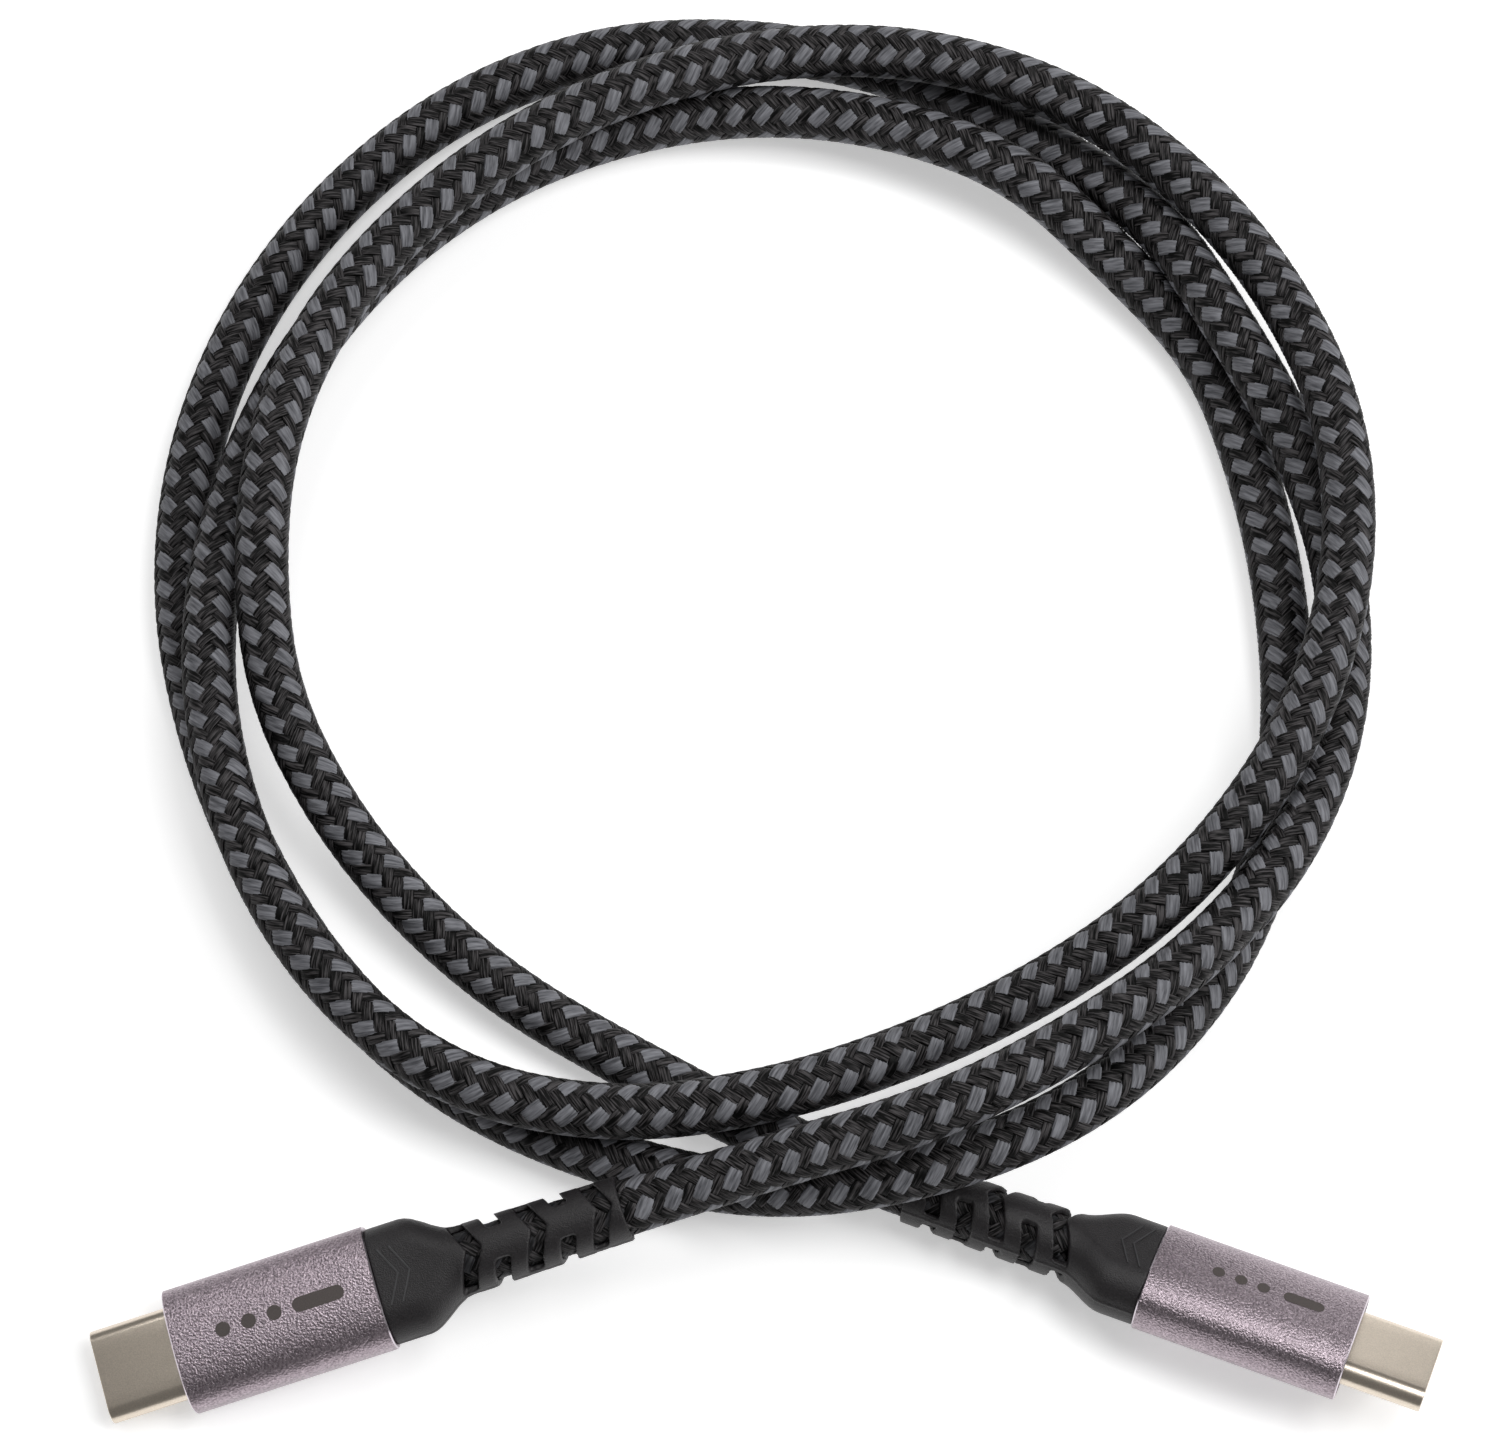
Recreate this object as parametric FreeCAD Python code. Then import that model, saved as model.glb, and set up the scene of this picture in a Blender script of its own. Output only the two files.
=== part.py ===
"""A coiled, braided charging cable with a small flat plug at each end.

Millimetres. The origin is the bottom centre of the box round the two plugs; the cable lies on z = 0.
Each plug is drawn in its own frame and then placed: +X out of the plug's mouth, 0 at the sleeve's
front face, +Z out of the flat side.
"""
import math
import os

import FreeCAD
import Part

V = FreeCAD.Vector

# cord
CORD_R = 2.4
JACKET_R = 2.05
SHIELD_R = 1.65
CORE_R = 1.35
LAYER_GAP = 0.05

# plug, along its own X
SHELL_OUT = 7.0
SLEEVE_LEN = 18.1
BOOT_LEN = 21.8
SHELL_W, SHELL_T, SHELL_WALL = 8.25, 2.40, 0.25
SHELL_BACK = -6.0
SLEEVE_W, SLEEVE_T, SLEEVE_WALL = 10.9, 6.2, 0.55
EDGE = 0.15
HOUSING_W, HOUSING_T = 7.64, 1.70
HOUSING_BACK, HOUSING_FRONT = -3.0, 6.8
MOUTH_W, MOUTH_H, MOUTH_BACK = 6.7, 0.90, 0.6
BOARD_W, BOARD_T, BOARD_BACK, BOARD_SHOULDER, BOARD_FRONT = 7.5, 0.6, -13.0, -5.2, -3.4
CONTACT_PITCH, CONTACT_W, SOLDER = 0.5, 0.25, 0.02
MOULD_W, MOULD_T, MOULD_FRONT, MOULD_BACK = 9.7, 5.0, -0.25, -14.5
CAVITY_W, CAVITY_T, CAVITY_FRONT = 7.8, 3.8, -6.1
CAN_BACK, CAN_FRONT, CAN_W, CAN_TOP, CAN_WALL = -12.0, -6.3, 7.2, 1.75, 0.15
RING_R, RING_LEN = 2.42, 3.0
STUB_END = -14.6
COLLAR_W, COLLAR_T, COLLAR_LEN, SHOULDER_LEN = 10.3, 5.8, 3.0, 4.3
NECK_R, TAIL_R, BORE_R = 3.05, 2.85, 2.42
SLIT_FIRST, SLIT_PITCH, SLIT_W, SLITS = -25.6, 2.9, 1.35, 5
CHEVRON, CHEVRON_HALF = 1.35, 2.7
SIDE_WEB, FLAT_WEB = 1.0, 2.8

# where the two plugs lie: point where the cord enters the boot, heading, pitch and roll in degrees
PLUG_A = ((-11.94, 5.74, 8.69), 196.5, -8.0, 0.0)
PLUG_B = ((12.56, 8.74, 3.19), -21.0, 3.0, -32.0)
LEAD_A, LEAD_B = 12.0, 11.0

# the lay of the coil: stations every 15 degrees, three turns, about the coil's middle
COIL_X, COIL_Y, FIRST_DEG, STEP_DEG = 0.06, 64.24, 285.0, 15.0
RADII = [
    54.0, 52.5, 52.5, 53.0, 53.0, 52.0, 50.0, 48.5, 51.0, 52.0, 54.0, 55.5,
    57.0, 57.0, 56.0, 55.0, 54.0, 53.0, 52.0, 52.0, 53.0, 54.0, 54.5, 56.5,
    57.5, 57.0, 54.5, 51.5, 48.5, 46.5, 46.0, 47.0, 46.0, 47.0, 47.5, 48.0,
    48.5, 48.5, 48.5, 48.5, 48.5, 49.5, 51.0, 52.5, 54.0, 54.5, 52.0, 48.5,
    46.0, 45.5, 46.5, 48.0, 50.0, 52.0, 53.5, 54.0, 54.5, 55.0, 54.0, 52.0,
    50.0, 48.5, 47.5, 47.0, 46.0, 45.0, 45.0, 44.0, 43.5, 44.0, 45.5]
HEIGHTS = [
    15.0, 14.0, 11.0, 7.5, 5.5, 5.0, 6.0, 8.0, 5.5, 2.5, 2.5, 2.5,
    2.5, 2.5, 2.5, 2.5, 2.5, 2.5, 2.5, 2.5, 2.5, 2.5, 2.5, 5.0,
    10.0, 9.5, 5.5, 2.5, 2.5, 2.5, 2.5, 2.5, 3.5, 6.0, 5.0, 4.0,
    2.5, 2.5, 2.5, 3.0, 4.5, 6.5, 7.5, 7.5, 7.5, 7.5, 7.5, 7.5,
    7.0, 7.5, 8.5, 9.5, 10.5, 10.5, 10.5, 9.5, 9.0, 8.0, 7.5, 7.5,
    7.5, 7.5, 7.5, 8.0, 9.0, 9.0, 8.0, 6.0, 4.0, 3.0, 2.5]


# ---------------------------------------------------------------- small solids
def box(x0, x1, y0, y1, z0, z1):
    return Part.makeBox(x1 - x0, y1 - y0, z1 - z0, V(x0, y0, z0))


def rod(radius, x0, x1, y=0.0, z=0.0):
    return Part.makeCylinder(radius, x1 - x0, V(x0, y, z), V(1, 0, 0))


def stadium_wire(width, height, x):
    """A flat-sided oval, full round at both ends, standing in the plane at x."""
    r = height / 2
    c = max(width / 2 - r, 0.01)
    top = Part.makeLine(V(x, -c, r), V(x, c, r))
    right = Part.Arc(V(x, c, r), V(x, c + r, 0), V(x, c, -r)).toShape()
    bottom = Part.makeLine(V(x, c, -r), V(x, -c, -r))
    left = Part.Arc(V(x, -c, -r), V(x, -c - r, 0), V(x, -c, r)).toShape()
    return Part.Wire([top, right, bottom, left])


def stadium(width, height, x0, x1):
    return Part.Face(stadium_wire(width, height, x0)).extrude(V(x1 - x0, 0, 0))


def stadium_loft(sections):
    """Joins (width, height, x) ovals with straight sides."""
    return Part.makeLoft([stadium_wire(*s) for s in sections], True, True)


def fuse_all(solids):
    whole = solids[0]
    for solid in solids[1:]:
        whole = whole.fuse(solid)
    return whole.removeSplitter()


# ---------------------------------------------------------------- plug pieces
def metal_sleeve():
    w, t = SLEEVE_W, SLEEVE_T
    body = stadium_loft([(w - 2 * EDGE, t - 2 * EDGE, -SLEEVE_LEN), (w, t, -SLEEVE_LEN + EDGE),
                         (w, t, -EDGE), (w - 2 * EDGE, t - 2 * EDGE, 0)])
    inside = stadium(w - 2 * SLEEVE_WALL, t - 2 * SLEEVE_WALL, -SLEEVE_LEN - 1, 1)
    return body.cut(inside)


def plug_shell():
    inner = (SHELL_W - 2 * SHELL_WALL, SHELL_T - 2 * SHELL_WALL)
    lead = 0.12
    outside = stadium_loft([(SHELL_W, SHELL_T, SHELL_BACK), (SHELL_W, SHELL_T, SHELL_OUT - lead),
                            (SHELL_W - 2 * lead, SHELL_T - 2 * lead, SHELL_OUT)])
    return outside.cut(stadium(*inner, SHELL_BACK - 1, SHELL_OUT + 1))


def contact_offsets(row):
    """Twelve places above; the lower row leaves its middle two places empty."""
    places = [(i - 5.5) * CONTACT_PITCH for i in range(12)]
    if row < 0:
        places = [y for y in places if abs(y) > CONTACT_PITCH]
    return places


def contact_housing():
    body = stadium(HOUSING_W, HOUSING_T, HOUSING_BACK, HOUSING_FRONT)
    half_w, half_h = MOUTH_W / 2, MOUTH_H / 2
    cuts = [box(MOUTH_BACK, HOUSING_FRONT + 1, -half_w, half_w, -half_h, half_h)]
    for row in (1, -1):
        for y in contact_offsets(row):
            z0, z1 = sorted((row * 0.40, row * 0.76))
            cuts.append(box(HOUSING_BACK - 1, 6.0, y - 0.19, y + 0.19, z0, z1))
    for side in (1, -1):
        y0, y1 = sorted((side * 3.0, side * 3.6))
        cuts.append(box(HOUSING_BACK - 1, 6.2, y0, y1, -0.30, 0.30))
    for cut in cuts:
        body = body.cut(cut)
    return body


def contact_row(row):
    """Flat springs with a foot on the board and a bump that meets the socket's tongue."""
    strips = []
    for y in contact_offsets(row):
        y0, y1 = y - CONTACT_W / 2, y + CONTACT_W / 2
        beam = box(-4.4, 5.0, y0, y1, 0.50, 0.62)
        foot = box(-4.4, -3.7, y0, y1, BOARD_T / 2 + SOLDER, 0.50)
        bump = box(4.2, 4.8, y0, y1, 0.36, 0.50)
        strip = fuse_all([beam, foot, bump])
        if row < 0:
            strip = strip.mirror(V(0, 0, 0), V(0, 0, 1))
        strips.append(strip)
    return Part.makeCompound(strips)


def latch(side):
    arm = box(BOARD_SHOULDER + SOLDER, 5.6, 3.22, 3.40, -0.22, 0.22)
    hook = box(5.0, 5.6, 2.95, 3.22, -0.22, 0.22)
    piece = arm.fuse(hook).removeSplitter()
    if side < 0:
        piece = piece.mirror(V(0, 0, 0), V(0, 1, 0))
    return piece


def ground_springs():
    plates = [box(1.5, 5.5, -2.4, 2.4, 0.86, 0.94), box(1.5, 5.5, -2.4, 2.4, -0.94, -0.86)]
    return Part.makeCompound(plates)


def circuit_board():
    w = BOARD_W / 2
    back = box(BOARD_BACK, BOARD_SHOULDER, -w, w, -BOARD_T / 2, BOARD_T / 2)
    front = box(BOARD_SHOULDER, BOARD_FRONT, -3.0, 3.0, -BOARD_T / 2, BOARD_T / 2)
    return back.fuse(front).removeSplitter()


def marker_chip():
    return box(-9.6, -7.6, -1.0, 1.0, 0.30, 0.90)


def board_components():
    solids = []
    for x, y in ((-11.4, -2.6), (-11.4, 0.0), (-11.4, 2.6), (-8.6, -2.8), (-8.6, 2.4), (-7.0, -0.4)):
        solids.append(box(x - 0.2, x + 0.2, y - 0.4, y + 0.4, 0.30, 0.70))
    for x, y in ((-10.8, -2.0), (-10.8, 1.6), (-8.4, 0.0), (-7.4, 2.2)):
        solids.append(box(x - 0.3, x + 0.3, y - 0.5, y + 0.5, -0.85, -0.30))
    return Part.makeCompound(solids)


def shield_can(row):
    w = CAN_W / 2
    outer = box(CAN_BACK, CAN_FRONT, -w, w, 0.30, CAN_TOP)
    t = CAN_WALL
    inner = box(CAN_BACK + t, CAN_FRONT - t, -w + t, w - t, 0, CAN_TOP - t)
    can = outer.cut(inner)
    if row < 0:
        can = can.mirror(V(0, 0, 0), V(0, 0, 1))
    return can


def inner_mould():
    body = stadium(MOULD_W, MOULD_T, MOULD_BACK, MOULD_FRONT)
    cavity = box(MOULD_BACK - 1, CAVITY_FRONT, -CAVITY_W / 2, CAVITY_W / 2, -CAVITY_T / 2, CAVITY_T / 2)
    fit = 0.02
    mouth = stadium(SHELL_W + fit, SHELL_T + fit, CAVITY_FRONT - 1, 1)
    return body.cut(cavity).cut(mouth)


def power_wires():
    return Part.makeCompound([rod(0.45, STUB_END, -12.2, y, -0.75) for y in (-0.8, 0.8)])


def data_pairs():
    return Part.makeCompound([rod(0.28, STUB_END, -12.2, y, 0.58) for y in (-1.5, -0.7, 0.7, 1.5)])


def crimp_ring():
    x1 = STUB_END - 0.2
    return rod(RING_R, x1 - RING_LEN, x1).cut(rod(JACKET_R + 0.02, x1 - RING_LEN - 1, x1 + 1))


def cord_flex():
    """The length of cord inside the boot, with its braid cut back under the ring."""
    tail = -SLEEVE_LEN - BOOT_LEN
    return rod(CORD_R - 0.02, tail, -SLEEVE_LEN).fuse(rod(JACKET_R, -SLEEVE_LEN, STUB_END)).removeSplitter()


def shoulder_sections():
    """The boot's waist: an S from the flat collar down to the round neck."""
    start = -SLEEVE_LEN - COLLAR_LEN
    sections = []
    for i in range(9):
        f = i / 8
        s = f * f * (3 - 2 * f)
        width = COLLAR_W + (2 * NECK_R + 0.02 - COLLAR_W) * s
        height = COLLAR_T + (2 * NECK_R - COLLAR_T) * s
        sections.append((width, height, start - SHOULDER_LEN * f))
    return sections


def chevron_band(x, y0, y1, z0=-5, z1=5):
    """A V-shaped band across the boot, its point towards the tail, kept between y0 and y1."""
    def edge(y, shift):
        return V(x + shift - CHEVRON * (1 - abs(y) / CHEVRON_HALF), y, z0)
    w = SLIT_W / 2
    ys = [y0, y1] if y0 * y1 >= 0 else [y0, 0.0, y1]
    points = [edge(y, w) for y in ys] + [edge(y, -w) for y in reversed(ys)]
    points.append(points[0])
    return Part.Face(Part.makePolygon(points)).extrude(V(0, 0, z1 - z0))


def strain_relief():
    neck = -SLEEVE_LEN - COLLAR_LEN - SHOULDER_LEN
    tail = -SLEEVE_LEN - BOOT_LEN
    spigot = stadium(SLEEVE_W - 2 * SLEEVE_WALL - 0.1, SLEEVE_T - 2 * SLEEVE_WALL - 0.1,
                     -SLEEVE_LEN, STUB_END)
    collar = stadium(COLLAR_W, COLLAR_T, -SLEEVE_LEN - COLLAR_LEN, -SLEEVE_LEN)
    waist = stadium_loft(shoulder_sections())
    cone = Part.makeCone(NECK_R, TAIL_R, neck - tail, V(neck, 0, 0), V(-1, 0, 0))
    body = fuse_all([spigot, collar, waist, cone])
    body = body.cut(rod(BORE_R, tail - 1, -SLEEVE_LEN)).cut(rod(RING_R + 0.02, -SLEEVE_LEN, 1))
    for i in range(SLITS):
        x = SLIT_FIRST - i * SLIT_PITCH
        if i % 2 == 0:
            body = body.cut(chevron_band(x, -4.0, 4.0, SIDE_WEB / 2, 5))
            body = body.cut(chevron_band(x, -4.0, 4.0, -5, -SIDE_WEB / 2))
        else:
            body = body.cut(chevron_band(x, FLAT_WEB / 2, 4.0))
            body = body.cut(chevron_band(x, -4.0, -FLAT_WEB / 2))
    return body


# ---------------------------------------------------------------- placing
def plug_placement(plug):
    tail, heading, pitch, roll = plug
    turn = FreeCAD.Rotation(V(0, 0, 1), heading)
    turn = turn.multiply(FreeCAD.Rotation(V(0, 1, 0), -pitch))
    turn = turn.multiply(FreeCAD.Rotation(V(1, 0, 0), roll))
    out = turn.multVec(V(1, 0, 0))
    return FreeCAD.Placement(V(*tail) + out * (SLEEVE_LEN + BOOT_LEN), turn)


def placed(shape, placement):
    copy = shape.copy()
    copy.Placement = placement.multiply(copy.Placement)
    return copy


# ---------------------------------------------------------------- cord
def route():
    out_a = plug_placement(PLUG_A).Rotation.multVec(V(1, 0, 0))
    out_b = plug_placement(PLUG_B).Rotation.multVec(V(1, 0, 0))
    points = [V(*PLUG_A[0]), V(*PLUG_A[0]) - out_a * LEAD_A]
    for i, (radius, height) in enumerate(zip(RADII, HEIGHTS)):
        a = math.radians(FIRST_DEG + STEP_DEG * i)
        points.append(V(COIL_X + radius * math.cos(a), COIL_Y + radius * math.sin(a), height))
    points += [V(*PLUG_B[0]) - out_b * LEAD_B, V(*PLUG_B[0])]
    return points


def corner_arc(before, corner, after):
    """The tangent arc at one corner, and its radius."""
    a = before - corner
    b = after - corner
    reach = 0.45 * min(a.Length, b.Length)
    a.normalize()
    b.normalize()
    half = (math.pi - a.getAngle(b)) / 2
    radius = reach / math.tan(half)
    middle = a + b
    middle.normalize()
    bow = corner + middle * (math.hypot(radius, reach) - radius)
    return corner + a * reach, bow, corner + b * reach, radius


def cord_wire(points):
    edges = []
    radii = []
    here = points[0]
    for i in range(1, len(points) - 1):
        start, bow, end, radius = corner_arc(points[i - 1], points[i], points[i + 1])
        edges.append(Part.makeLine(here, start))
        edges.append(Part.Arc(start, bow, end).toShape())
        radii.append(radius)
        here = end
    edges.append(Part.makeLine(here, points[-1]))
    return Part.Wire(edges), radii


def sweep(wire, radius, along):
    ring = Part.Wire(Part.makeCircle(radius, wire.Vertexes[0].Point, along))
    return wire.makePipeShell([ring], True, False)


def cord_tube(wire, along, outer, inner):
    solid = sweep(wire, outer, along)
    if inner:
        solid = solid.cut(sweep(wire, inner, along))
    return solid


def cord_pieces():
    points = route()
    wire, radii = cord_wire(points)
    along = points[1] - points[0]
    print("cord length", round(wire.Length, 1), "smallest radius", round(min(radii), 1),
          "radii", [round(r) for r in radii])
    layers = {"braided_sleeve": (CORD_R, JACKET_R + LAYER_GAP),
              "cable_jacket": (JACKET_R, SHIELD_R + LAYER_GAP),
              "braid_shield": (SHIELD_R, CORE_R + LAYER_GAP),
              "conductor_core": (CORE_R, 0.0)}
    pieces = {}
    for name, (outer, inner) in layers.items():
        pieces[name] = cord_tube(wire, along, outer, inner)
        ideal = math.pi * (outer ** 2 - inner ** 2) * wire.Length
        print(name, "volume / ideal", round(pieces[name].Volume / ideal, 4), pieces[name].isValid())
    return pieces


def plug_pieces():
    return {
        "metal_sleeve": metal_sleeve(), "plug_shell": plug_shell(),
        "contact_housing": contact_housing(), "upper_contacts": contact_row(1),
        "lower_contacts": contact_row(-1), "latch_left": latch(1), "latch_right": latch(-1),
        "ground_springs": ground_springs(), "circuit_board": circuit_board(),
        "marker_chip": marker_chip(), "board_components": board_components(),
        "shield_can_upper": shield_can(1), "shield_can_lower": shield_can(-1),
        "inner_mould": inner_mould(), "power_wires": power_wires(), "data_pairs": data_pairs(),
        "crimp_ring": crimp_ring(), "cord_flex": cord_flex(), "strain_relief": strain_relief()}


def main():
    os.makedirs("parts", exist_ok=True)
    pieces = cord_pieces()
    plain = plug_pieces()
    plugs = []
    for letter, plug in (("a", PLUG_A), ("b", PLUG_B)):
        placement = plug_placement(plug)
        for name, shape in plain.items():
            pieces[name + "_" + letter] = placed(shape, placement)
            plugs.append(pieces[name + "_" + letter])
    for name, shape in pieces.items():
        print(name, "valid", shape.isValid(), "solids", len(shape.Solids), "mm3", round(shape.Volume, 2))
        shape.exportStep("parts/" + name + ".step")
    limits = Part.makeCompound(plugs).BoundBox
    print("plugs' box: middle", round(limits.Center.x, 3), round(limits.Center.y, 3),
          "bottom", round(limits.ZMin, 3), "size", round(limits.XLength, 2),
          round(limits.YLength, 2), round(limits.ZLength, 2))


main()
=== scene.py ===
"""The looks of a coiled, braided charging cable with a flat plug at each end.

Lengths are in millimetres until mesh_object() turns them into metres. Each plug is drawn in its own
frame, as in the CAD model, and then placed: +X out of its mouth, 0 at the sleeve's front face, +Z
out of its flat side.
"""
import math

import bpy
import numpy as np
from mathutils import Matrix, Vector


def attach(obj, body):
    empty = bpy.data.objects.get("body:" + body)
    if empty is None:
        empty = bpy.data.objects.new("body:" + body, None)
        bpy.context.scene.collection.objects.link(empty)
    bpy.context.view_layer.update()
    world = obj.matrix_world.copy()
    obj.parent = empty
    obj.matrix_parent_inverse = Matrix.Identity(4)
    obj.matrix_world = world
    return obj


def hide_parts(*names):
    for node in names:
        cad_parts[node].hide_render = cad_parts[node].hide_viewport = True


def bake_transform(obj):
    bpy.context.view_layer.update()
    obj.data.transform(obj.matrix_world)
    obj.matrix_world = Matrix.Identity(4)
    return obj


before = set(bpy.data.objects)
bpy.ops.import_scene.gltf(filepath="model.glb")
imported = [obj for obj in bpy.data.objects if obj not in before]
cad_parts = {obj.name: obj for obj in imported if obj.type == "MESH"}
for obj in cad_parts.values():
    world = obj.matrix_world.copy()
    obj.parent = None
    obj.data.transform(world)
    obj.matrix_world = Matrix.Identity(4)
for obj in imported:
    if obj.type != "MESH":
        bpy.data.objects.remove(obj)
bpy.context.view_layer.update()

MM = 0.001

# ---------------------------------------------------------------- driving sizes
# what the CAD model has too is the same there; the chamfer and the crown are of the looks alone
SHELL_OUT, SLEEVE_LEN, BOOT_LEN = 7.0, 18.1, 21.8
SHELL_W, SHELL_T, SHELL_WALL, SHELL_BACK = 8.25, 2.40, 0.25, -6.0
SLEEVE_W, SLEEVE_T, SLEEVE_WALL, CHAMFER = 10.9, 6.2, 0.55, 0.11
# how square the sleeve's outline is: 2 is an ellipse, and more is squarer
CROWN = 2.6
COLLAR_T, COLLAR_LEN, SHOULDER_LEN = 5.8, 3.0, 4.3
TAIL_X = -SLEEVE_LEN - BOOT_LEN
NECK_X = -SLEEVE_LEN - COLLAR_LEN - SHOULDER_LEN

# where the two plugs lie: point where the cord enters the boot, heading, pitch and roll in degrees,
# and how far behind it the route's next point lies
PLUGS = {"a": ((-11.94, 5.74, 8.69), 196.5, -8.0, 0.0),
         "b": ((12.56, 8.74, 3.19), -21.0, 3.0, -32.0)}
LEADS = {"a": 12.0, "b": 11.0}

# the lay of the coil: stations every 15 degrees, nearly three turns, about the coil's middle
COIL_X, COIL_Y, FIRST_DEG, STEP_DEG = 0.06, 64.24, 285.0, 15.0
RADII = [
    54.0, 52.5, 52.5, 53.0, 53.0, 52.0, 50.0, 48.5, 51.0, 52.0, 54.0, 55.5,
    57.0, 57.0, 56.0, 55.0, 54.0, 53.0, 52.0, 52.0, 53.0, 54.0, 54.5, 56.5,
    57.5, 57.0, 54.5, 51.5, 48.5, 46.5, 46.0, 47.0, 46.0, 47.0, 47.5, 48.0,
    48.5, 48.5, 48.5, 48.5, 48.5, 49.5, 51.0, 52.5, 54.0, 54.5, 52.0, 48.5,
    46.0, 45.5, 46.5, 48.0, 50.0, 52.0, 53.5, 54.0, 54.5, 55.0, 54.0, 52.0,
    50.0, 48.5, 47.5, 47.0, 46.0, 45.0, 45.0, 44.0, 43.5, 44.0, 45.5]
HEIGHTS = [
    15.0, 14.0, 11.0, 7.5, 5.5, 5.0, 6.0, 8.0, 5.5, 2.5, 2.5, 2.5,
    2.5, 2.5, 2.5, 2.5, 2.5, 2.5, 2.5, 2.5, 2.5, 2.5, 2.5, 5.0,
    10.0, 9.5, 5.5, 2.5, 2.5, 2.5, 2.5, 2.5, 3.5, 6.0, 5.0, 4.0,
    2.5, 2.5, 2.5, 3.0, 4.5, 6.5, 7.5, 7.5, 7.5, 7.5, 7.5, 7.5,
    7.0, 7.5, 8.5, 9.5, 10.5, 10.5, 10.5, 9.5, 9.0, 8.0, 7.5, 7.5,
    7.5, 7.5, 7.5, 8.0, 9.0, 9.0, 8.0, 6.0, 4.0, 3.0, 2.5]
ROUTE_ORDER, ROUTE_STEPS = 3, 32

# ---------------------------------------------------------------- braid
CORE_R, CORE_SIDES = 1.88, 20
YARNS_EACH_WAY = 10
LEAD = 13.3
SAMPLES_PER_CROSSING = 3
STEP = LEAD / (2 * YARNS_EACH_WAY * SAMPLES_PER_CROSSING)
YARN_MIDDLE_R, YARN_WAVE = 2.13, 0.16
GREY_HALF_W, BLACK_HALF_W, YARN_HALF_T = 0.68, 0.51, 0.14
# a yarn passes over two of the other way's yarns and under two; a grey one stays up a little longer
WAVES_A_TURN, WAVE_START, WAVE_STEEPNESS = YARNS_EACH_WAY / 2, math.pi / 4, 2.2
GREY_LIFT = 0.30
# what sets the filaments of one way's yarns apart from the other's
OTHER_WAY = 3.5
# a yarn's section: across, and out from its middle, as shares of its half width and half thickness
YARN_SECTION = [(-1.0, 0.0), (-0.78, 0.72), (-0.52, 0.45), (-0.26, 0.95), (0.0, 0.62), (0.26, 0.95),
                (0.52, 0.45), (0.78, 0.72), (1.0, 0.0), (0.55, -0.9), (-0.55, -0.9)]

# ---------------------------------------------------------------- camera
LOOK_AT = (-1.29, 52.34, -0.06)
CAMERA_DISTANCE, CAMERA_ELEVATION = 450.0, 70.0
LENS, SENSOR = 120.4, 36.0
CLIP_START, CLIP_END = 20.0, 5000.0


def plug_matrix(plug):
    """From a plug's own frame to the row frame, both in millimetres."""
    tail, heading, pitch, roll = PLUGS[plug]
    turn = (Matrix.Rotation(math.radians(heading), 4, "Z")
            @ Matrix.Rotation(math.radians(-pitch), 4, "Y")
            @ Matrix.Rotation(math.radians(roll), 4, "X"))
    return Matrix.Translation(Vector(tail)) @ turn @ Matrix.Translation((-TAIL_X, 0, 0))


def make_camera():
    """Looks down at the middle of the cable from the side of the plugs."""
    e = math.radians(CAMERA_ELEVATION)
    data = bpy.data.cameras.new("camera")
    data.lens = LENS
    data.sensor_width = SENSOR
    data.clip_start = CLIP_START * MM
    data.clip_end = CLIP_END * MM
    camera = bpy.data.objects.new("camera", data)
    away = Vector((0.0, -math.cos(e), math.sin(e)))
    camera.location = (Vector(LOOK_AT) + away * CAMERA_DISTANCE) * MM
    camera.rotation_euler = (math.pi / 2 - e, 0.0, 0.0)
    bpy.context.scene.collection.objects.link(camera)
    bpy.context.scene.camera = camera


make_camera()


# ---------------------------------------------------------------- mesh helpers
def mesh_object(name, points_mm, faces, materials, face_materials=None, smooth=True):
    """A mesh piece from points in the row frame, in millimetres."""
    mesh = bpy.data.meshes.new(name)
    mesh.from_pydata((np.asarray(points_mm, float) * MM).tolist(), [], faces)
    for finish in materials:
        mesh.materials.append(finish)
    if face_materials is not None:
        mesh.polygons.foreach_set("material_index", np.asarray(face_materials, np.int32))
    mesh.polygons.foreach_set("use_smooth", [smooth] * len(mesh.polygons))
    mesh.update()
    obj = bpy.data.objects.new(name, mesh)
    bpy.context.scene.collection.objects.link(obj)
    return obj


def place(plug, points):
    """Points of a plug's own frame, in the row frame; both in millimetres."""
    m = np.array(plug_matrix(plug))
    return np.asarray(points, float) @ m[:3, :3].T + m[:3, 3]


def stadium_ring(width, height, x, arc_steps, flat_steps):
    """Points round a flat-sided oval standing in the plane at x."""
    r = height / 2
    c = width / 2 - r
    ring = []
    for side in (1, -1):
        for i in range(arc_steps + 1):
            a = side * math.pi / 2 - i * math.pi / arc_steps
            ring.append((x, side * c + r * math.cos(a), r * math.sin(a)))
        for i in range(1, flat_steps):
            ring.append((x, side * c - side * 2 * c * i / flat_steps, -side * r))
    return ring


def crowned_ring(width, height, x, arc_steps, flat_steps):
    """The same oval with its flats bulged a little, so that they run smoothly into its ends."""
    ring = []
    for _, y, z in stadium_ring(width, height, x, arc_steps, flat_steps):
        k = (abs(2 * y / width) ** CROWN + abs(2 * z / height) ** CROWN) ** (-1 / CROWN)
        ring.append((x, y * k, z * k))
    return ring


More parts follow.
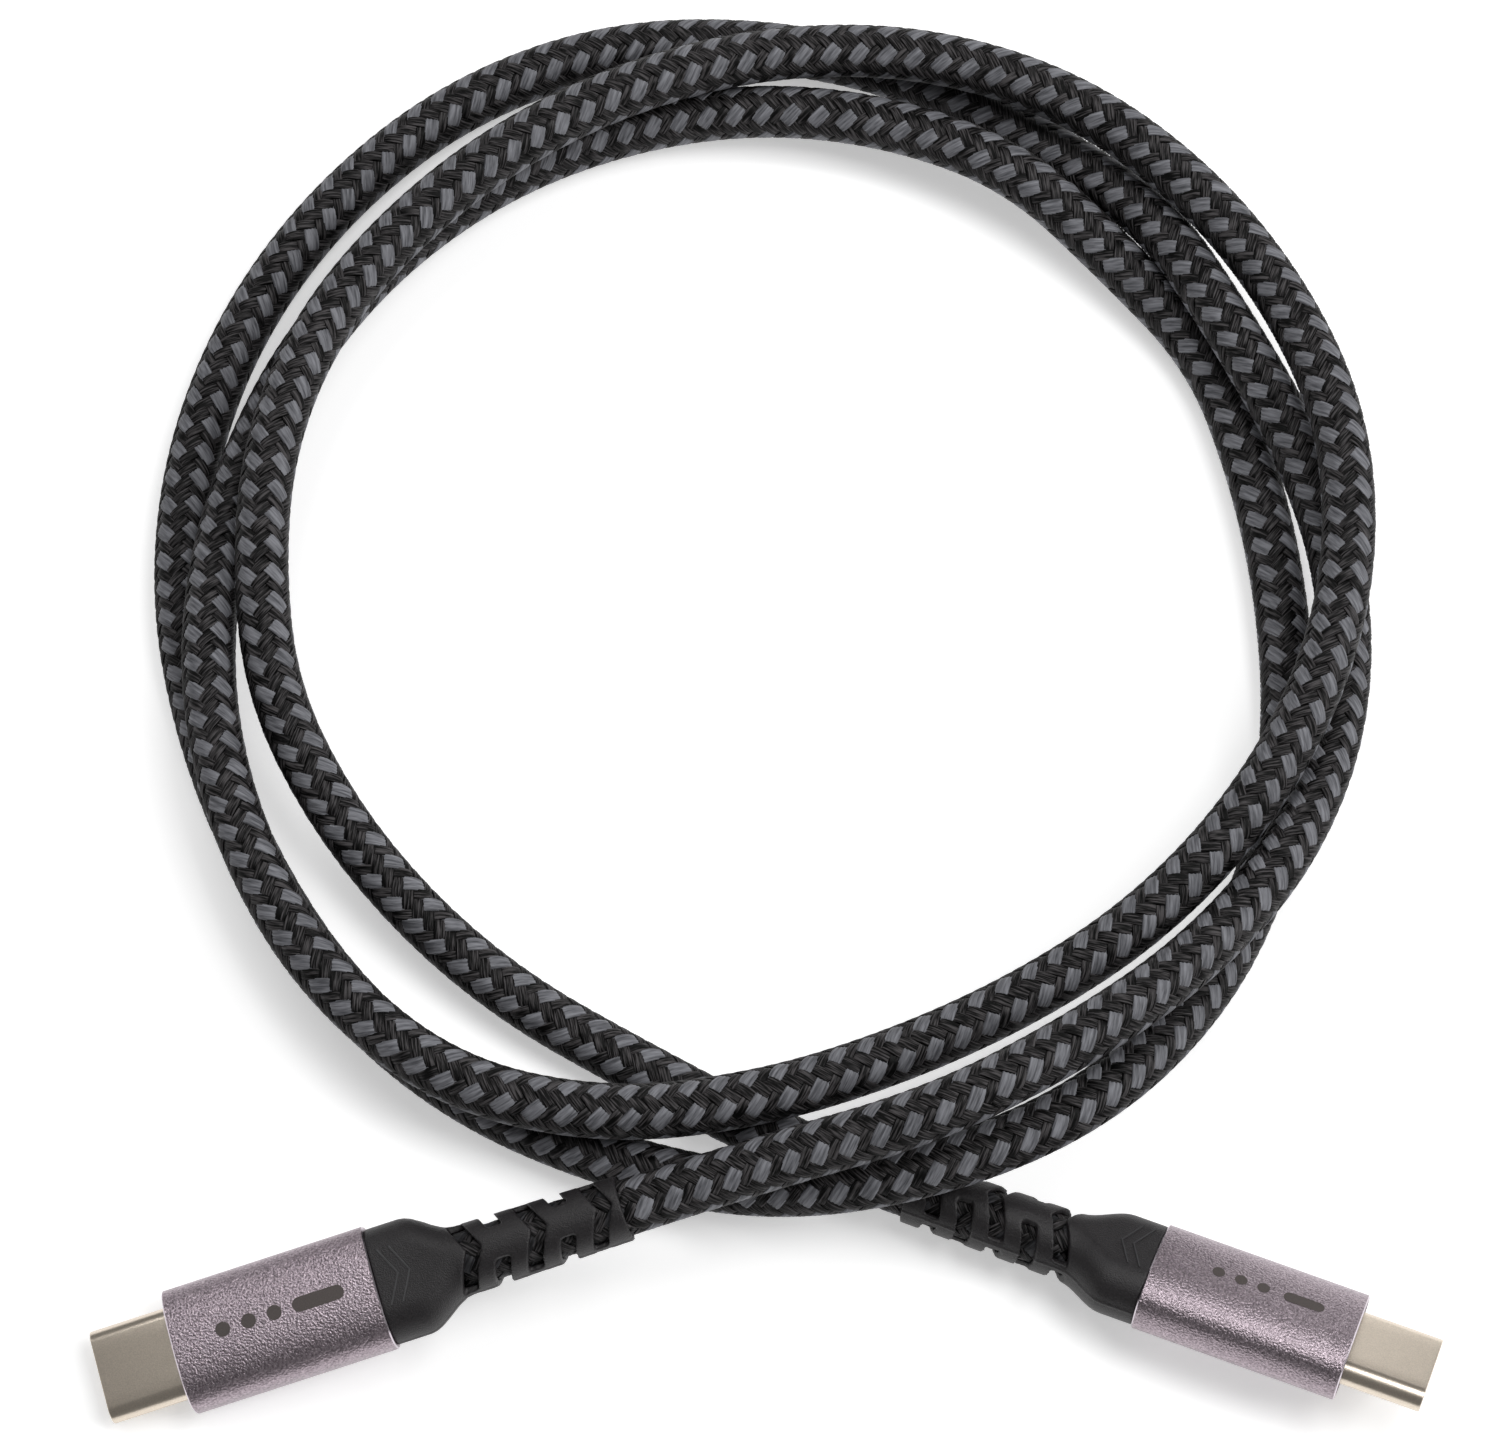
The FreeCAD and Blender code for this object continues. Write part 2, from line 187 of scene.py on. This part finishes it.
def loft(rings, closed=False):
    """Quads between rings of equal length; closed joins the last ring to the first."""
    n = len(rings[0])
    points = [p for ring in rings for p in ring]
    faces = []
    spans = len(rings) if closed else len(rings) - 1
    for i in range(spans):
        low, high = i * n, (i + 1) % len(rings) * n
        faces += [(low + j, low + (j + 1) % n, high + (j + 1) % n, high + j) for j in range(n)]
    return points, faces


# ---------------------------------------------------------------- materials
GRAIN_DETAIL, GRAIN_LOW, GRAIN_HIGH = 3.0, 0.3, 0.7
# filaments of a yarn: the grain's scale across it, along it and from one yarn to the next
FILAMENTS, FILAMENT_DETAIL, FILAMENT_RELIEF = (3.6, 0.8, 7.0), 2.5, 0.8
YARN_ROUGHNESS, YARN_GLOSS = 0.5, 0.14


def plain_material(name, color, roughness, metallic, sockets):
    """A Principled material; sockets gives further inputs, with _ for each blank in a name."""
    m = bpy.data.materials.new(name)
    m.use_nodes = True
    shader = m.node_tree.nodes["Principled BSDF"]
    shader.inputs["Base Color"].default_value = (*color, 1.0)
    shader.inputs["Roughness"].default_value = roughness
    shader.inputs["Metallic"].default_value = metallic
    for socket, value in sockets.items():
        shader.inputs[socket.replace("_", " ")].default_value = value
    m.diffuse_color = (*color, 1.0)
    return m


def add_grain(m, vector, scale, detail, stops, strength, depth):
    """Noise that drives a material's colour, between two stops, and its relief, in millimetres."""
    nodes, links = m.node_tree.nodes, m.node_tree.links
    shader = nodes["Principled BSDF"]
    noise = nodes.new("ShaderNodeTexNoise")
    noise.inputs["Scale"].default_value = scale
    noise.inputs["Detail"].default_value = detail
    links.new(vector, noise.inputs["Vector"])
    ramp = nodes.new("ShaderNodeValToRGB")
    for element, (position, color) in zip(ramp.color_ramp.elements, stops):
        element.position = position
        element.color = (*color, 1.0)
    links.new(noise.outputs["Fac"], ramp.inputs["Fac"])
    links.new(ramp.outputs["Color"], shader.inputs["Base Color"])
    if strength:
        relief = nodes.new("ShaderNodeBump")
        relief.inputs["Strength"].default_value = strength
        relief.inputs["Distance"].default_value = depth * MM
        links.new(noise.outputs["Fac"], relief.inputs["Height"])
        links.new(relief.outputs["Normal"], shader.inputs["Normal"])


def material(name, color, roughness, metallic=0.0, grain=None, tint=0.0, bump=0.0, **sockets):
    """A Principled material whose colour and relief vary with a fine grain, given in millimetres."""
    m = plain_material(name, color, roughness, metallic, sockets)
    if grain is not None:
        place_node = m.node_tree.nodes.new("ShaderNodeTexCoord")
        dark = [c * (1 - tint) for c in color]
        light = [min(1.0, c * (1 + tint)) for c in color]
        add_grain(m, place_node.outputs["Object"], 1.0 / (grain * MM), GRAIN_DETAIL,
                  [(GRAIN_LOW, dark), (GRAIN_HIGH, light)], bump, grain)
    return m


def yarn_material(name, dark, light, low, high, depth):
    """Filaments that run along a yarn, read from its strand attribute: across, along, number. Their colour
    runs from dark to light: on the grey yarn that is its own tone, and on the black yarn the light
    filaments are painted highlights.
    """
    m = plain_material(name, light, YARN_ROUGHNESS, 0.0, {"Specular_IOR_Level": YARN_GLOSS})
    strand = m.node_tree.nodes.new("ShaderNodeAttribute")
    strand.attribute_name = "strand"
    stretch = m.node_tree.nodes.new("ShaderNodeMapping")
    stretch.inputs["Scale"].default_value = FILAMENTS
    m.node_tree.links.new(strand.outputs["Vector"], stretch.inputs["Vector"])
    add_grain(m, stretch.outputs["Vector"], 1.0, FILAMENT_DETAIL,
              [(low, dark), (high, light)], FILAMENT_RELIEF, depth)
    return m


ALUMINIUM = material("blasted_aluminium", (0.36, 0.302, 0.335), 0.30, 1.0, grain=0.19, tint=0.42, bump=0.55)
POLISHED = material("polished_edge", (0.62, 0.56, 0.61), 0.20, 1.0, grain=0.3, tint=0.04)
NICKEL = material("nickel_shell", (0.68, 0.60, 0.505), 0.28, 1.0, grain=0.12, tint=0.10, bump=0.07)
RUBBER = material("boot_rubber", (0.0105, 0.0088, 0.0100), 0.46, grain=0.12, tint=0.6, bump=0.5,
                  Specular_IOR_Level=0.45)
RUBBER_LINE = material("boot_line", (0.035, 0.034, 0.036), 0.42, grain=0.09, tint=0.2)
ETCH = material("etched_mark", (0.075, 0.062, 0.058), 0.55, 0.3, grain=0.08, tint=0.15)
JACKET = material("jacket", (0.006, 0.006, 0.006), 0.7, grain=0.3, tint=0.2)
MOULD = material("moulded_plastic", (0.012, 0.011, 0.011), 0.5, grain=0.1, tint=0.25, bump=0.1)
HOUSING = material("contact_plastic", (0.010, 0.010, 0.011), 0.4, grain=0.15, tint=0.2, bump=0.05)
GOLD = material("gold_plate", (0.75, 0.53, 0.20), 0.22, 1.0, grain=0.2, tint=0.06, bump=0.03)
SPRING = material("spring_steel", (0.55, 0.54, 0.52), 0.25, 1.0, grain=0.15, tint=0.08, bump=0.04)
BOARD = material("board_lacquer", (0.008, 0.055, 0.022), 0.35, grain=0.4, tint=0.2, bump=0.05)
CHIP = material("chip_resin", (0.012, 0.012, 0.013), 0.35, grain=0.08, tint=0.2, bump=0.06)
CERAMIC = material("ceramic", (0.34, 0.25, 0.15), 0.4, grain=0.2, tint=0.12, bump=0.04)
TIN = material("tinned_steel", (0.58, 0.58, 0.57), 0.3, 1.0, grain=0.3, tint=0.08, bump=0.05)
BRASS = material("crimp_brass", (0.62, 0.47, 0.22), 0.3, 1.0, grain=0.2, tint=0.08, bump=0.05)
WIRE_RED = material("red_insulation", (0.42, 0.015, 0.012), 0.4, grain=0.3, tint=0.12)
WIRE_WHITE = material("white_insulation", (0.62, 0.62, 0.60), 0.4, grain=0.3, tint=0.06)
GREY_YARN = yarn_material("grey_yarn", (0.070, 0.071, 0.079), (0.222, 0.225, 0.245), 0.32, 0.68, 0.10)
# the black yarn's light filaments are painted highlights on its threads, over their real relief
BLACK_YARN_PAINTED_HIGHLIGHTS = yarn_material("black_yarn_painted_highlights", (0.0006, 0.0006, 0.0006), (0.074, 0.069, 0.071), 0.45, 0.66, 0.18)
# the grey yarn darkened as painted shade, for the braid inside the boots, which the slits leave in shadow
GREY_YARN_PAINTED_SHADE = yarn_material("grey_yarn_painted_shade", (0.010, 0.010, 0.011), (0.055, 0.055, 0.060), 0.40, 0.70, 0.12)


# ---------------------------------------------------------------- the cord's line
def control_points():
    """The route's points from boot A's tail, round the coil, to boot B's tail."""
    ends = []
    for plug in "ab":
        tail = Vector(PLUGS[plug][0])
        out = (plug_matrix(plug).to_3x3() @ Vector((1, 0, 0))).normalized()
        ends.append([tail, tail - out * LEADS[plug]])
    middle = []
    for i, (radius, height) in enumerate(zip(RADII, HEIGHTS)):
        a = math.radians(FIRST_DEG + STEP_DEG * i)
        middle.append(Vector((COIL_X + radius * math.cos(a), COIL_Y + radius * math.sin(a), height)))
    return ends[0] + middle + ends[1][::-1]


def smooth_line(points):
    """The route's NURBS line, as points in millimetres."""
    curve = bpy.data.curves.new("route", "CURVE")
    curve.dimensions = "3D"
    curve.resolution_u = ROUTE_STEPS
    spline = curve.splines.new("NURBS")
    spline.points.add(len(points) - 1)
    for control, p in zip(spline.points, points):
        control.co = (*(p * MM), 1.0)
    spline.order_u = ROUTE_ORDER
    spline.use_endpoint_u = True
    holder = bpy.data.objects.new("route", curve)
    mesh = bpy.data.meshes.new_from_object(holder)
    line = np.array([v.co for v in mesh.vertices]) / MM
    bpy.data.objects.remove(holder)
    bpy.data.curves.remove(curve)
    bpy.data.meshes.remove(mesh)
    return line


def evenly(line, step):
    """The same line at even steps, and the distance along it of each point."""
    gaps = np.linalg.norm(np.diff(line, axis=0), axis=1)
    along = np.concatenate([[0.0], np.cumsum(gaps)])
    s = np.linspace(0.0, along[-1], int(round(along[-1] / step)) + 1)
    return np.stack([np.interp(s, along, line[:, k]) for k in range(3)], axis=1), s


def frames_along(line, first_side):
    """At each point of the line, two directions square to it that never twist round it."""
    ahead = np.gradient(line, axis=0)
    ahead /= np.linalg.norm(ahead, axis=1)[:, None]
    side = np.empty_like(line)
    v = first_side - ahead[0] * (first_side @ ahead[0])
    for i, t in enumerate(ahead):
        v = v - t * (v @ t)
        v = v / np.linalg.norm(v)
        side[i] = v
    return side, np.cross(ahead, side)


ROUTE = smooth_line(control_points())
NECKS = {plug: place(plug, [(NECK_X, 0, 0)]) for plug in "ab"}
LINE, ALONG = evenly(np.vstack([NECKS["a"], ROUTE, NECKS["b"]]), STEP)
SIDE, UP = frames_along(LINE, np.array([0.0, 0.0, 1.0]))
# where the cord leaves each boot's tail, along the line
TAIL_A, TAIL_B = NECK_X - TAIL_X, ALONG[-1] - (NECK_X - TAIL_X)


def stretch_of(mask):
    """The run of the line's points that a mask marks."""
    first = int(np.argmax(mask))
    return slice(first, first + int(mask.sum()))


def tube_along(part, radius, sides):
    """A closed round tube on a stretch of the line."""
    a = np.arange(sides) * 2 * math.pi / sides
    ring = radius * (np.cos(a)[None, :, None] * SIDE[part][:, None]
                     + np.sin(a)[None, :, None] * UP[part][:, None])
    points = (LINE[part][:, None] + ring).reshape(-1, 3)
    return points, strip_faces(len(LINE[part]), sides)


def strip_faces(rows, n):
    """Quads between rows of n points each, and a cap at each end."""
    base = (np.arange(rows - 1) * n)[:, None]
    j = np.arange(n)[None, :]
    k = (j + 1) % n
    quads = np.stack([base + j, base + k, base + n + k, base + n + j], axis=2).reshape(-1, 4)
    last = (rows - 1) * n
    return quads.tolist() + [tuple(range(n))[::-1], tuple(range(last, last + n))]


def yarn_is_grey(number, way):
    """Every other yarn of one way is grey; all the rest are black."""
    return way < 0 and number % 2 == 0


def yarn(part, number, way):
    """One braided yarn: a helix that rises over the other way's yarns and dips under them."""
    s = ALONG[part]
    turn = 2 * math.pi / YARNS_EACH_WAY * (number + 1) + way * 2 * math.pi * s / LEAD
    grey = yarn_is_grey(number, way)
    half_w = GREY_HALF_W if grey else BLACK_HALF_W
    lift = np.cos(WAVES_A_TURN * turn + WAVE_START) + (way * GREY_LIFT if grey else 0.0)
    lift = np.tanh(WAVE_STEEPNESS * lift) / math.tanh(WAVE_STEEPNESS)
    radius = YARN_MIDDLE_R + way * YARN_WAVE * lift
    out = np.cos(turn)[:, None] * SIDE[part] + np.sin(turn)[:, None] * UP[part]
    centre = LINE[part] + out * radius[:, None]
    ahead = np.gradient(centre, axis=0)
    ahead /= np.linalg.norm(ahead, axis=1)[:, None]
    across = np.cross(ahead, out)
    across /= np.linalg.norm(across, axis=1)[:, None]
    proud = np.cross(across, ahead)
    section = np.array(YARN_SECTION)
    points = (centre[:, None]
              + across[:, None] * (section[:, 0] * half_w)[None, :, None]
              + proud[:, None] * (section[:, 1] * YARN_HALF_T)[None, :, None])
    strand = np.empty(points.shape)
    strand[:, :, 0] = section[None, :, 0]
    strand[:, :, 1] = s[:, None]
    strand[:, :, 2] = number + (OTHER_WAY if way < 0 else 0.0)
    return points.reshape(-1, 3), strip_faces(len(s), len(section)), strand.reshape(-1, 3)


def with_strand(obj, strand):
    """The piece, with the attribute that its yarn material reads."""
    attribute = obj.data.attributes.new("strand", "FLOAT_VECTOR", "POINT")
    attribute.data.foreach_set("vector", strand.astype(np.float32).ravel())
    return obj


# ---------------------------------------------------------------- the braided cord
def make_cord():
    """The cord between the boots' tails: a plain core under twenty separate yarns."""
    part = stretch_of((ALONG >= TAIL_A - 0.5 * STEP) & (ALONG <= TAIL_B + 0.5 * STEP))
    points, faces = tube_along(part, CORE_R, CORE_SIDES)
    core = mesh_object("cord_core", points, faces, [JACKET])
    yarns = []
    for way, letter in ((1, "s"), (-1, "z")):
        for number in range(YARNS_EACH_WAY):
            points, faces, strand = yarn(part, number, way)
            look = GREY_YARN if yarn_is_grey(number, way) else BLACK_YARN_PAINTED_HIGHLIGHTS
            piece = mesh_object(f"yarn_{letter}{number + 1}", points, faces, [look])
            yarns.append(with_strand(piece, strand))
    for piece in [core] + yarns:
        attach(piece, "cord")
    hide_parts("braided_sleeve", "cable_jacket", "braid_shield", "conductor_core")


def make_flex(plug):
    """The braid inside one boot, seen through its slits."""
    inside = {"a": ALONG <= TAIL_A + 0.5 * STEP, "b": ALONG >= TAIL_B - 0.5 * STEP}
    part = stretch_of(inside[plug])
    core, faces = tube_along(part, CORE_R, CORE_SIDES)
    points = [core]
    looks = [0] * len(faces)
    strands = [np.zeros(core.shape)]
    count = len(core)
    for way in (1, -1):
        for number in range(YARNS_EACH_WAY):
            p, f, strand = yarn(part, number, way)
            faces += [tuple(i + count for i in face) for face in f]
            # inside the boot the grey yarns take the darker copy, which is painted shade
            looks += [1 if yarn_is_grey(number, way) else 2] * len(f)
            points.append(p)
            strands.append(strand)
            count += len(p)
    flex = mesh_object(f"flex_braid_{plug}", np.vstack(points), faces,
                       [JACKET, GREY_YARN_PAINTED_SHADE, BLACK_YARN_PAINTED_HIGHLIGHTS], looks)
    with_strand(flex, np.vstack(strands))
    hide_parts(f"cord_flex_{plug}")
    bend(flex)


def bend(piece):
    """Bakes a piece's placement into its points."""
    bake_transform(piece)


make_cord()
for plug in "ab":
    make_flex(plug)


# ---------------------------------------------------------------- boots
BOOT_VOXEL, BOOT_SMOOTHING, BOOT_SMOOTH_BY = 0.14, 3, 0.5
# the seam: only on the outer wall behind the sleeve
SEAM_PROUD, SEAM_HALF, SEAM_MIN_R, SEAM_START = 0.07, 0.10, 2.62, -SLEEVE_LEN - 0.1
RIBS, RIB_FIRST, RIB_GAP, RIB_HALF, RIB_LEAN = 2, 2.1, 1.05, 2.5, 1.25
RIB_W, RIB_PROUD, RIB_SUNK = 0.26, 0.07, 0.1


def make_boot(plug):
    """The CAD boot with its edges softened and a fine mould seam along each side."""
    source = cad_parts[f"strain_relief_{plug}"]
    boot = bpy.data.objects.new(f"boot_{plug}", source.data.copy())
    bpy.context.scene.collection.objects.link(boot)
    boot.matrix_world = source.matrix_world
    remesh = boot.modifiers.new("soften", "REMESH")
    remesh.mode = "VOXEL"
    remesh.voxel_size = BOOT_VOXEL * MM
    remesh.use_smooth_shade = True
    soften = boot.modifiers.new("round", "SMOOTH")
    soften.factor = BOOT_SMOOTH_BY
    soften.iterations = BOOT_SMOOTHING
    seen = boot.evaluated_get(bpy.context.evaluated_depsgraph_get())
    mesh = bpy.data.meshes.new_from_object(seen)
    boot.modifiers.clear()
    boot.data = mesh
    m = np.array(plug_matrix(plug))
    rotation, origin = m[:3, :3], m[:3, 3]
    local = (np.array([v.co for v in mesh.vertices]) / MM - origin) @ rotation
    outer = np.hypot(local[:, 1], local[:, 2]) > SEAM_MIN_R
    behind = local[:, 0] < SEAM_START
    raise_by = SEAM_PROUD * np.exp(-(local[:, 2] / SEAM_HALF) ** 2) * (outer & behind)
    local[:, 1] += np.sign(local[:, 1]) * raise_by
    mesh.vertices.foreach_set("co", ((local @ rotation.T + origin) * MM).ravel())
    mesh.update()
    mesh.materials.clear()
    mesh.materials.append(RUBBER)
    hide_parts(f"strain_relief_{plug}")
    bend(boot)
    make_boot_lines(plug)


def make_boot_lines(plug):
    """Two raised V lines moulded on each flat of the collar, their points towards the tail."""
    points, faces = [], []
    for face_side in (1, -1):
        z = face_side * COLLAR_T / 2
        for i in range(RIBS):
            tip = -SLEEVE_LEN - RIB_FIRST - i * RIB_GAP
            for arm in (1, -1):
                ends = [(tip, 0.0), (tip + RIB_LEAN, arm * RIB_HALF)]
                rows = []
                for x, y in ends:
                    rows.append([(x - RIB_W / 2, y, z - face_side * RIB_SUNK),
                                 (x - RIB_W / 4, y, z + face_side * RIB_PROUD),
                                 (x + RIB_W / 4, y, z + face_side * RIB_PROUD),
                                 (x + RIB_W / 2, y, z - face_side * RIB_SUNK)])
                p, f = loft(rows)
                n = len(points)
                faces += [tuple(k + n for k in quad) for quad in f]
                faces += [(n + 3, n + 2, n + 1, n), (n + 4, n + 5, n + 6, n + 7)]
                points += p
    lines = mesh_object(f"boot_lines_{plug}", place(plug, points), faces, [RUBBER_LINE], smooth=False)
    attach(lines, f"plug_{plug}")


# ---------------------------------------------------------------- metal parts
SLEEVE_ARC_STEPS, SLEEVE_FLAT_STEPS, SLEEVE_SHARP_DEG = 32, 16, 30
SHELL_ARC_STEPS, SHELL_FLAT_STEPS, SHELL_SHARP_DEG = 24, 6, 35
# the shell's mouth: a round outer edge, and a bevel inside
SHELL_EDGE, SHELL_EDGE_STEPS = 0.12, 6
MOUTH_BEVEL_W, MOUTH_BEVEL_X = 0.05, 0.06


def make_sleeve(plug):
    """The metal sleeve: a crowned oval outside, flat-sided inside, with polished rims."""
    inside = (SLEEVE_W - 2 * SLEEVE_WALL, SLEEVE_T - 2 * SLEEVE_WALL)
    back = -SLEEVE_LEN
    full = (SLEEVE_W, SLEEVE_T)
    small = (SLEEVE_W - 2 * CHAMFER, SLEEVE_T - 2 * CHAMFER)
    profile = [(inside, back, 0), (inside, 0.0, 0), (small, 0.0, 1), (full, -CHAMFER, 0),
               (full, back + CHAMFER, 1), (small, back, 0)]
    rings = []
    for size, x, _ in profile:
        outline = stadium_ring if size == inside else crowned_ring
        rings.append(outline(*size, x, SLEEVE_ARC_STEPS, SLEEVE_FLAT_STEPS))
    points, faces = loft(rings, closed=True)
    per = len(rings[0])
    looks = [profile[i // per][2] for i in range(len(faces))]
    sleeve = mesh_object(f"sleeve_{plug}", place(plug, points), faces, [ALUMINIUM, POLISHED], looks)
    sleeve.data.set_sharp_from_angle(angle=math.radians(SLEEVE_SHARP_DEG))
    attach(sleeve, f"plug_{plug}")
    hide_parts(f"metal_sleeve_{plug}")


def make_shell(plug):
    """The plug's shell, from its back, round its mouth's rounded edge and back along its inside."""
    profile = [(0.0, SHELL_BACK)]
    for i in range(SHELL_EDGE_STEPS + 1):
        a = math.pi / 2 * i / SHELL_EDGE_STEPS
        profile.append((SHELL_EDGE * (1 - math.cos(a)), SHELL_OUT - SHELL_EDGE * (1 - math.sin(a))))
    profile += [(SHELL_WALL - MOUTH_BEVEL_W, SHELL_OUT), (SHELL_WALL, SHELL_OUT - MOUTH_BEVEL_X),
                (SHELL_WALL, SHELL_BACK)]
    rings = []
    for cut, x in profile:
        size = (SHELL_W - 2 * cut, SHELL_T - 2 * cut)
        rings.append(stadium_ring(*size, x, SHELL_ARC_STEPS, SHELL_FLAT_STEPS))
    points, faces = loft(rings, closed=True)
    shell = mesh_object(f"shell_{plug}", place(plug, points), faces, [NICKEL])
    shell.data.set_sharp_from_angle(angle=math.radians(SHELL_SHARP_DEG))
    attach(shell, f"plug_{plug}")
    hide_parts(f"plug_shell_{plug}")


# ---------------------------------------------------------------- a plain mark on each sleeve
# each bar or dot: the middle along the sleeve, length and width
MARKS = {"a": [(-4.6, 1.3, 1.3), (-6.9, 1.3, 1.3), (-9.2, 1.3, 1.3), (-13.1, 4.6, 1.3)],
         "b": [(-5.0, 3.6, 1.1), (-8.6, 1.1, 1.1), (-10.6, 1.1, 1.1), (-12.6, 1.1, 1.1)]}
MARK_PROUD, MARK_SUNK, MARK_ARC_STEPS = 0.012, 0.05, 16


def make_mark(plug):
    """Plain round-ended bars and dots on the sleeve's flat."""
    points, faces = [], []
    top = SLEEVE_T / 2
    for middle, length, width in MARKS[plug]:
        r = width / 2
        c = length / 2 - r
        outline = []
        for end in (1, -1):
            for i in range(MARK_ARC_STEPS + 1):
                a = -math.pi / 2 + math.pi * i / MARK_ARC_STEPS
                outline.append((middle + end * (c + r * math.cos(a)), end * r * math.sin(a)))
        n, k = len(points), len(outline)
        points += [(x, y, top + MARK_PROUD) for x, y in outline]
        points += [(x, y, top - MARK_SUNK) for x, y in outline]
        faces.append(tuple(range(n, n + k)))
        faces.append(tuple(range(n + 2 * k - 1, n + k - 1, -1)))
        faces += [(n + (j + 1) % k, n + j, n + k + j, n + k + (j + 1) % k) for j in range(k)]
    mark = mesh_object(f"mark_{plug}", place(plug, points), faces, [ETCH], smooth=False)
    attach(mark, f"plug_{plug}")


for plug in "ab":
    make_boot(plug)
    make_sleeve(plug)
    make_shell(plug)
    make_mark(plug)


# ---------------------------------------------------------------- finishes of the CAD parts that stay
FINISHES = {"contact_housing": HOUSING, "upper_contacts": GOLD, "lower_contacts": GOLD,
            "latch_left": SPRING, "latch_right": SPRING, "ground_springs": SPRING,
            "circuit_board": BOARD, "marker_chip": CHIP, "board_components": CERAMIC,
            "shield_can_upper": TIN, "shield_can_lower": TIN, "inner_mould": MOULD,
            "power_wires": WIRE_RED, "data_pairs": WIRE_WHITE, "crimp_ring": BRASS}
for node, finish in FINISHES.items():
    for plug in "ab":
        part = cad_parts[f"{node}_{plug}"]
        for material_slot in part.material_slots:
            material_slot.material = finish


# ---------------------------------------------------------------- floor and light
FLOOR_HALF, FLOOR_WHITE, FLOOR_ROUGHNESS, FLOOR_GLOW = 600.0, 0.90, 0.95, 0.43
WORLD_STRENGTH = 0.18
# each light: where it hangs and its size, both in metres, and its power in watts
LIGHTS = {"key": ((0.24, 0.11, 0.72), (0.42, 0.24), 1.75),
          "band": ((-0.17, 0.38, 0.67), (0.42, 0.18), 1.6),
          "side": ((0.62, 0.02, 0.50), (0.34, 0.34), 2.7),
          "fill": ((-0.60, 0.10, 0.40), (0.45, 0.45), 0.15),
          "back": ((0.10, 0.95, 0.14), (0.9, 0.22), 0.75)}


def make_floor():
    """A white floor that glows a little, as paper lit from below."""
    y = LOOK_AT[1]
    corners = [(-FLOOR_HALF, y - FLOOR_HALF, 0), (FLOOR_HALF, y - FLOOR_HALF, 0),
               (FLOOR_HALF, y + FLOOR_HALF, 0), (-FLOOR_HALF, y + FLOOR_HALF, 0)]
    paper = material("white_floor", [FLOOR_WHITE] * 3, FLOOR_ROUGHNESS, Emission_Strength=FLOOR_GLOW,
                     Emission_Color=(1.0, 1.0, 1.0, 1.0))
    floor = mesh_object("floor", corners, [(0, 1, 2, 3)], [paper], smooth=False)


def area_light(name, where, size, power):
    """A rectangular light aimed at the point that the camera looks at."""
    data = bpy.data.lights.new(name, "AREA")
    data.shape = "RECTANGLE"
    data.size, data.size_y = size
    data.energy = power
    lamp = bpy.data.objects.new(name, data)
    lamp.location = where
    lamp.rotation_euler = (Vector(LOOK_AT) * MM - Vector(where)).to_track_quat("-Z", "Y").to_euler()
    bpy.context.scene.collection.objects.link(lamp)


def make_world():
    """An even white surround."""
    world = bpy.data.worlds.new("studio")
    world.use_nodes = True
    background = world.node_tree.nodes["Background"]
    background.inputs["Color"].default_value = (1.0, 1.0, 1.0, 1.0)
    background.inputs["Strength"].default_value = WORLD_STRENGTH
    bpy.context.scene.world = world


make_floor()
for light, (where, size, power) in LIGHTS.items():
    area_light(light, where, size, power)
make_world()
bpy.context.scene.view_settings.view_transform = "Standard"
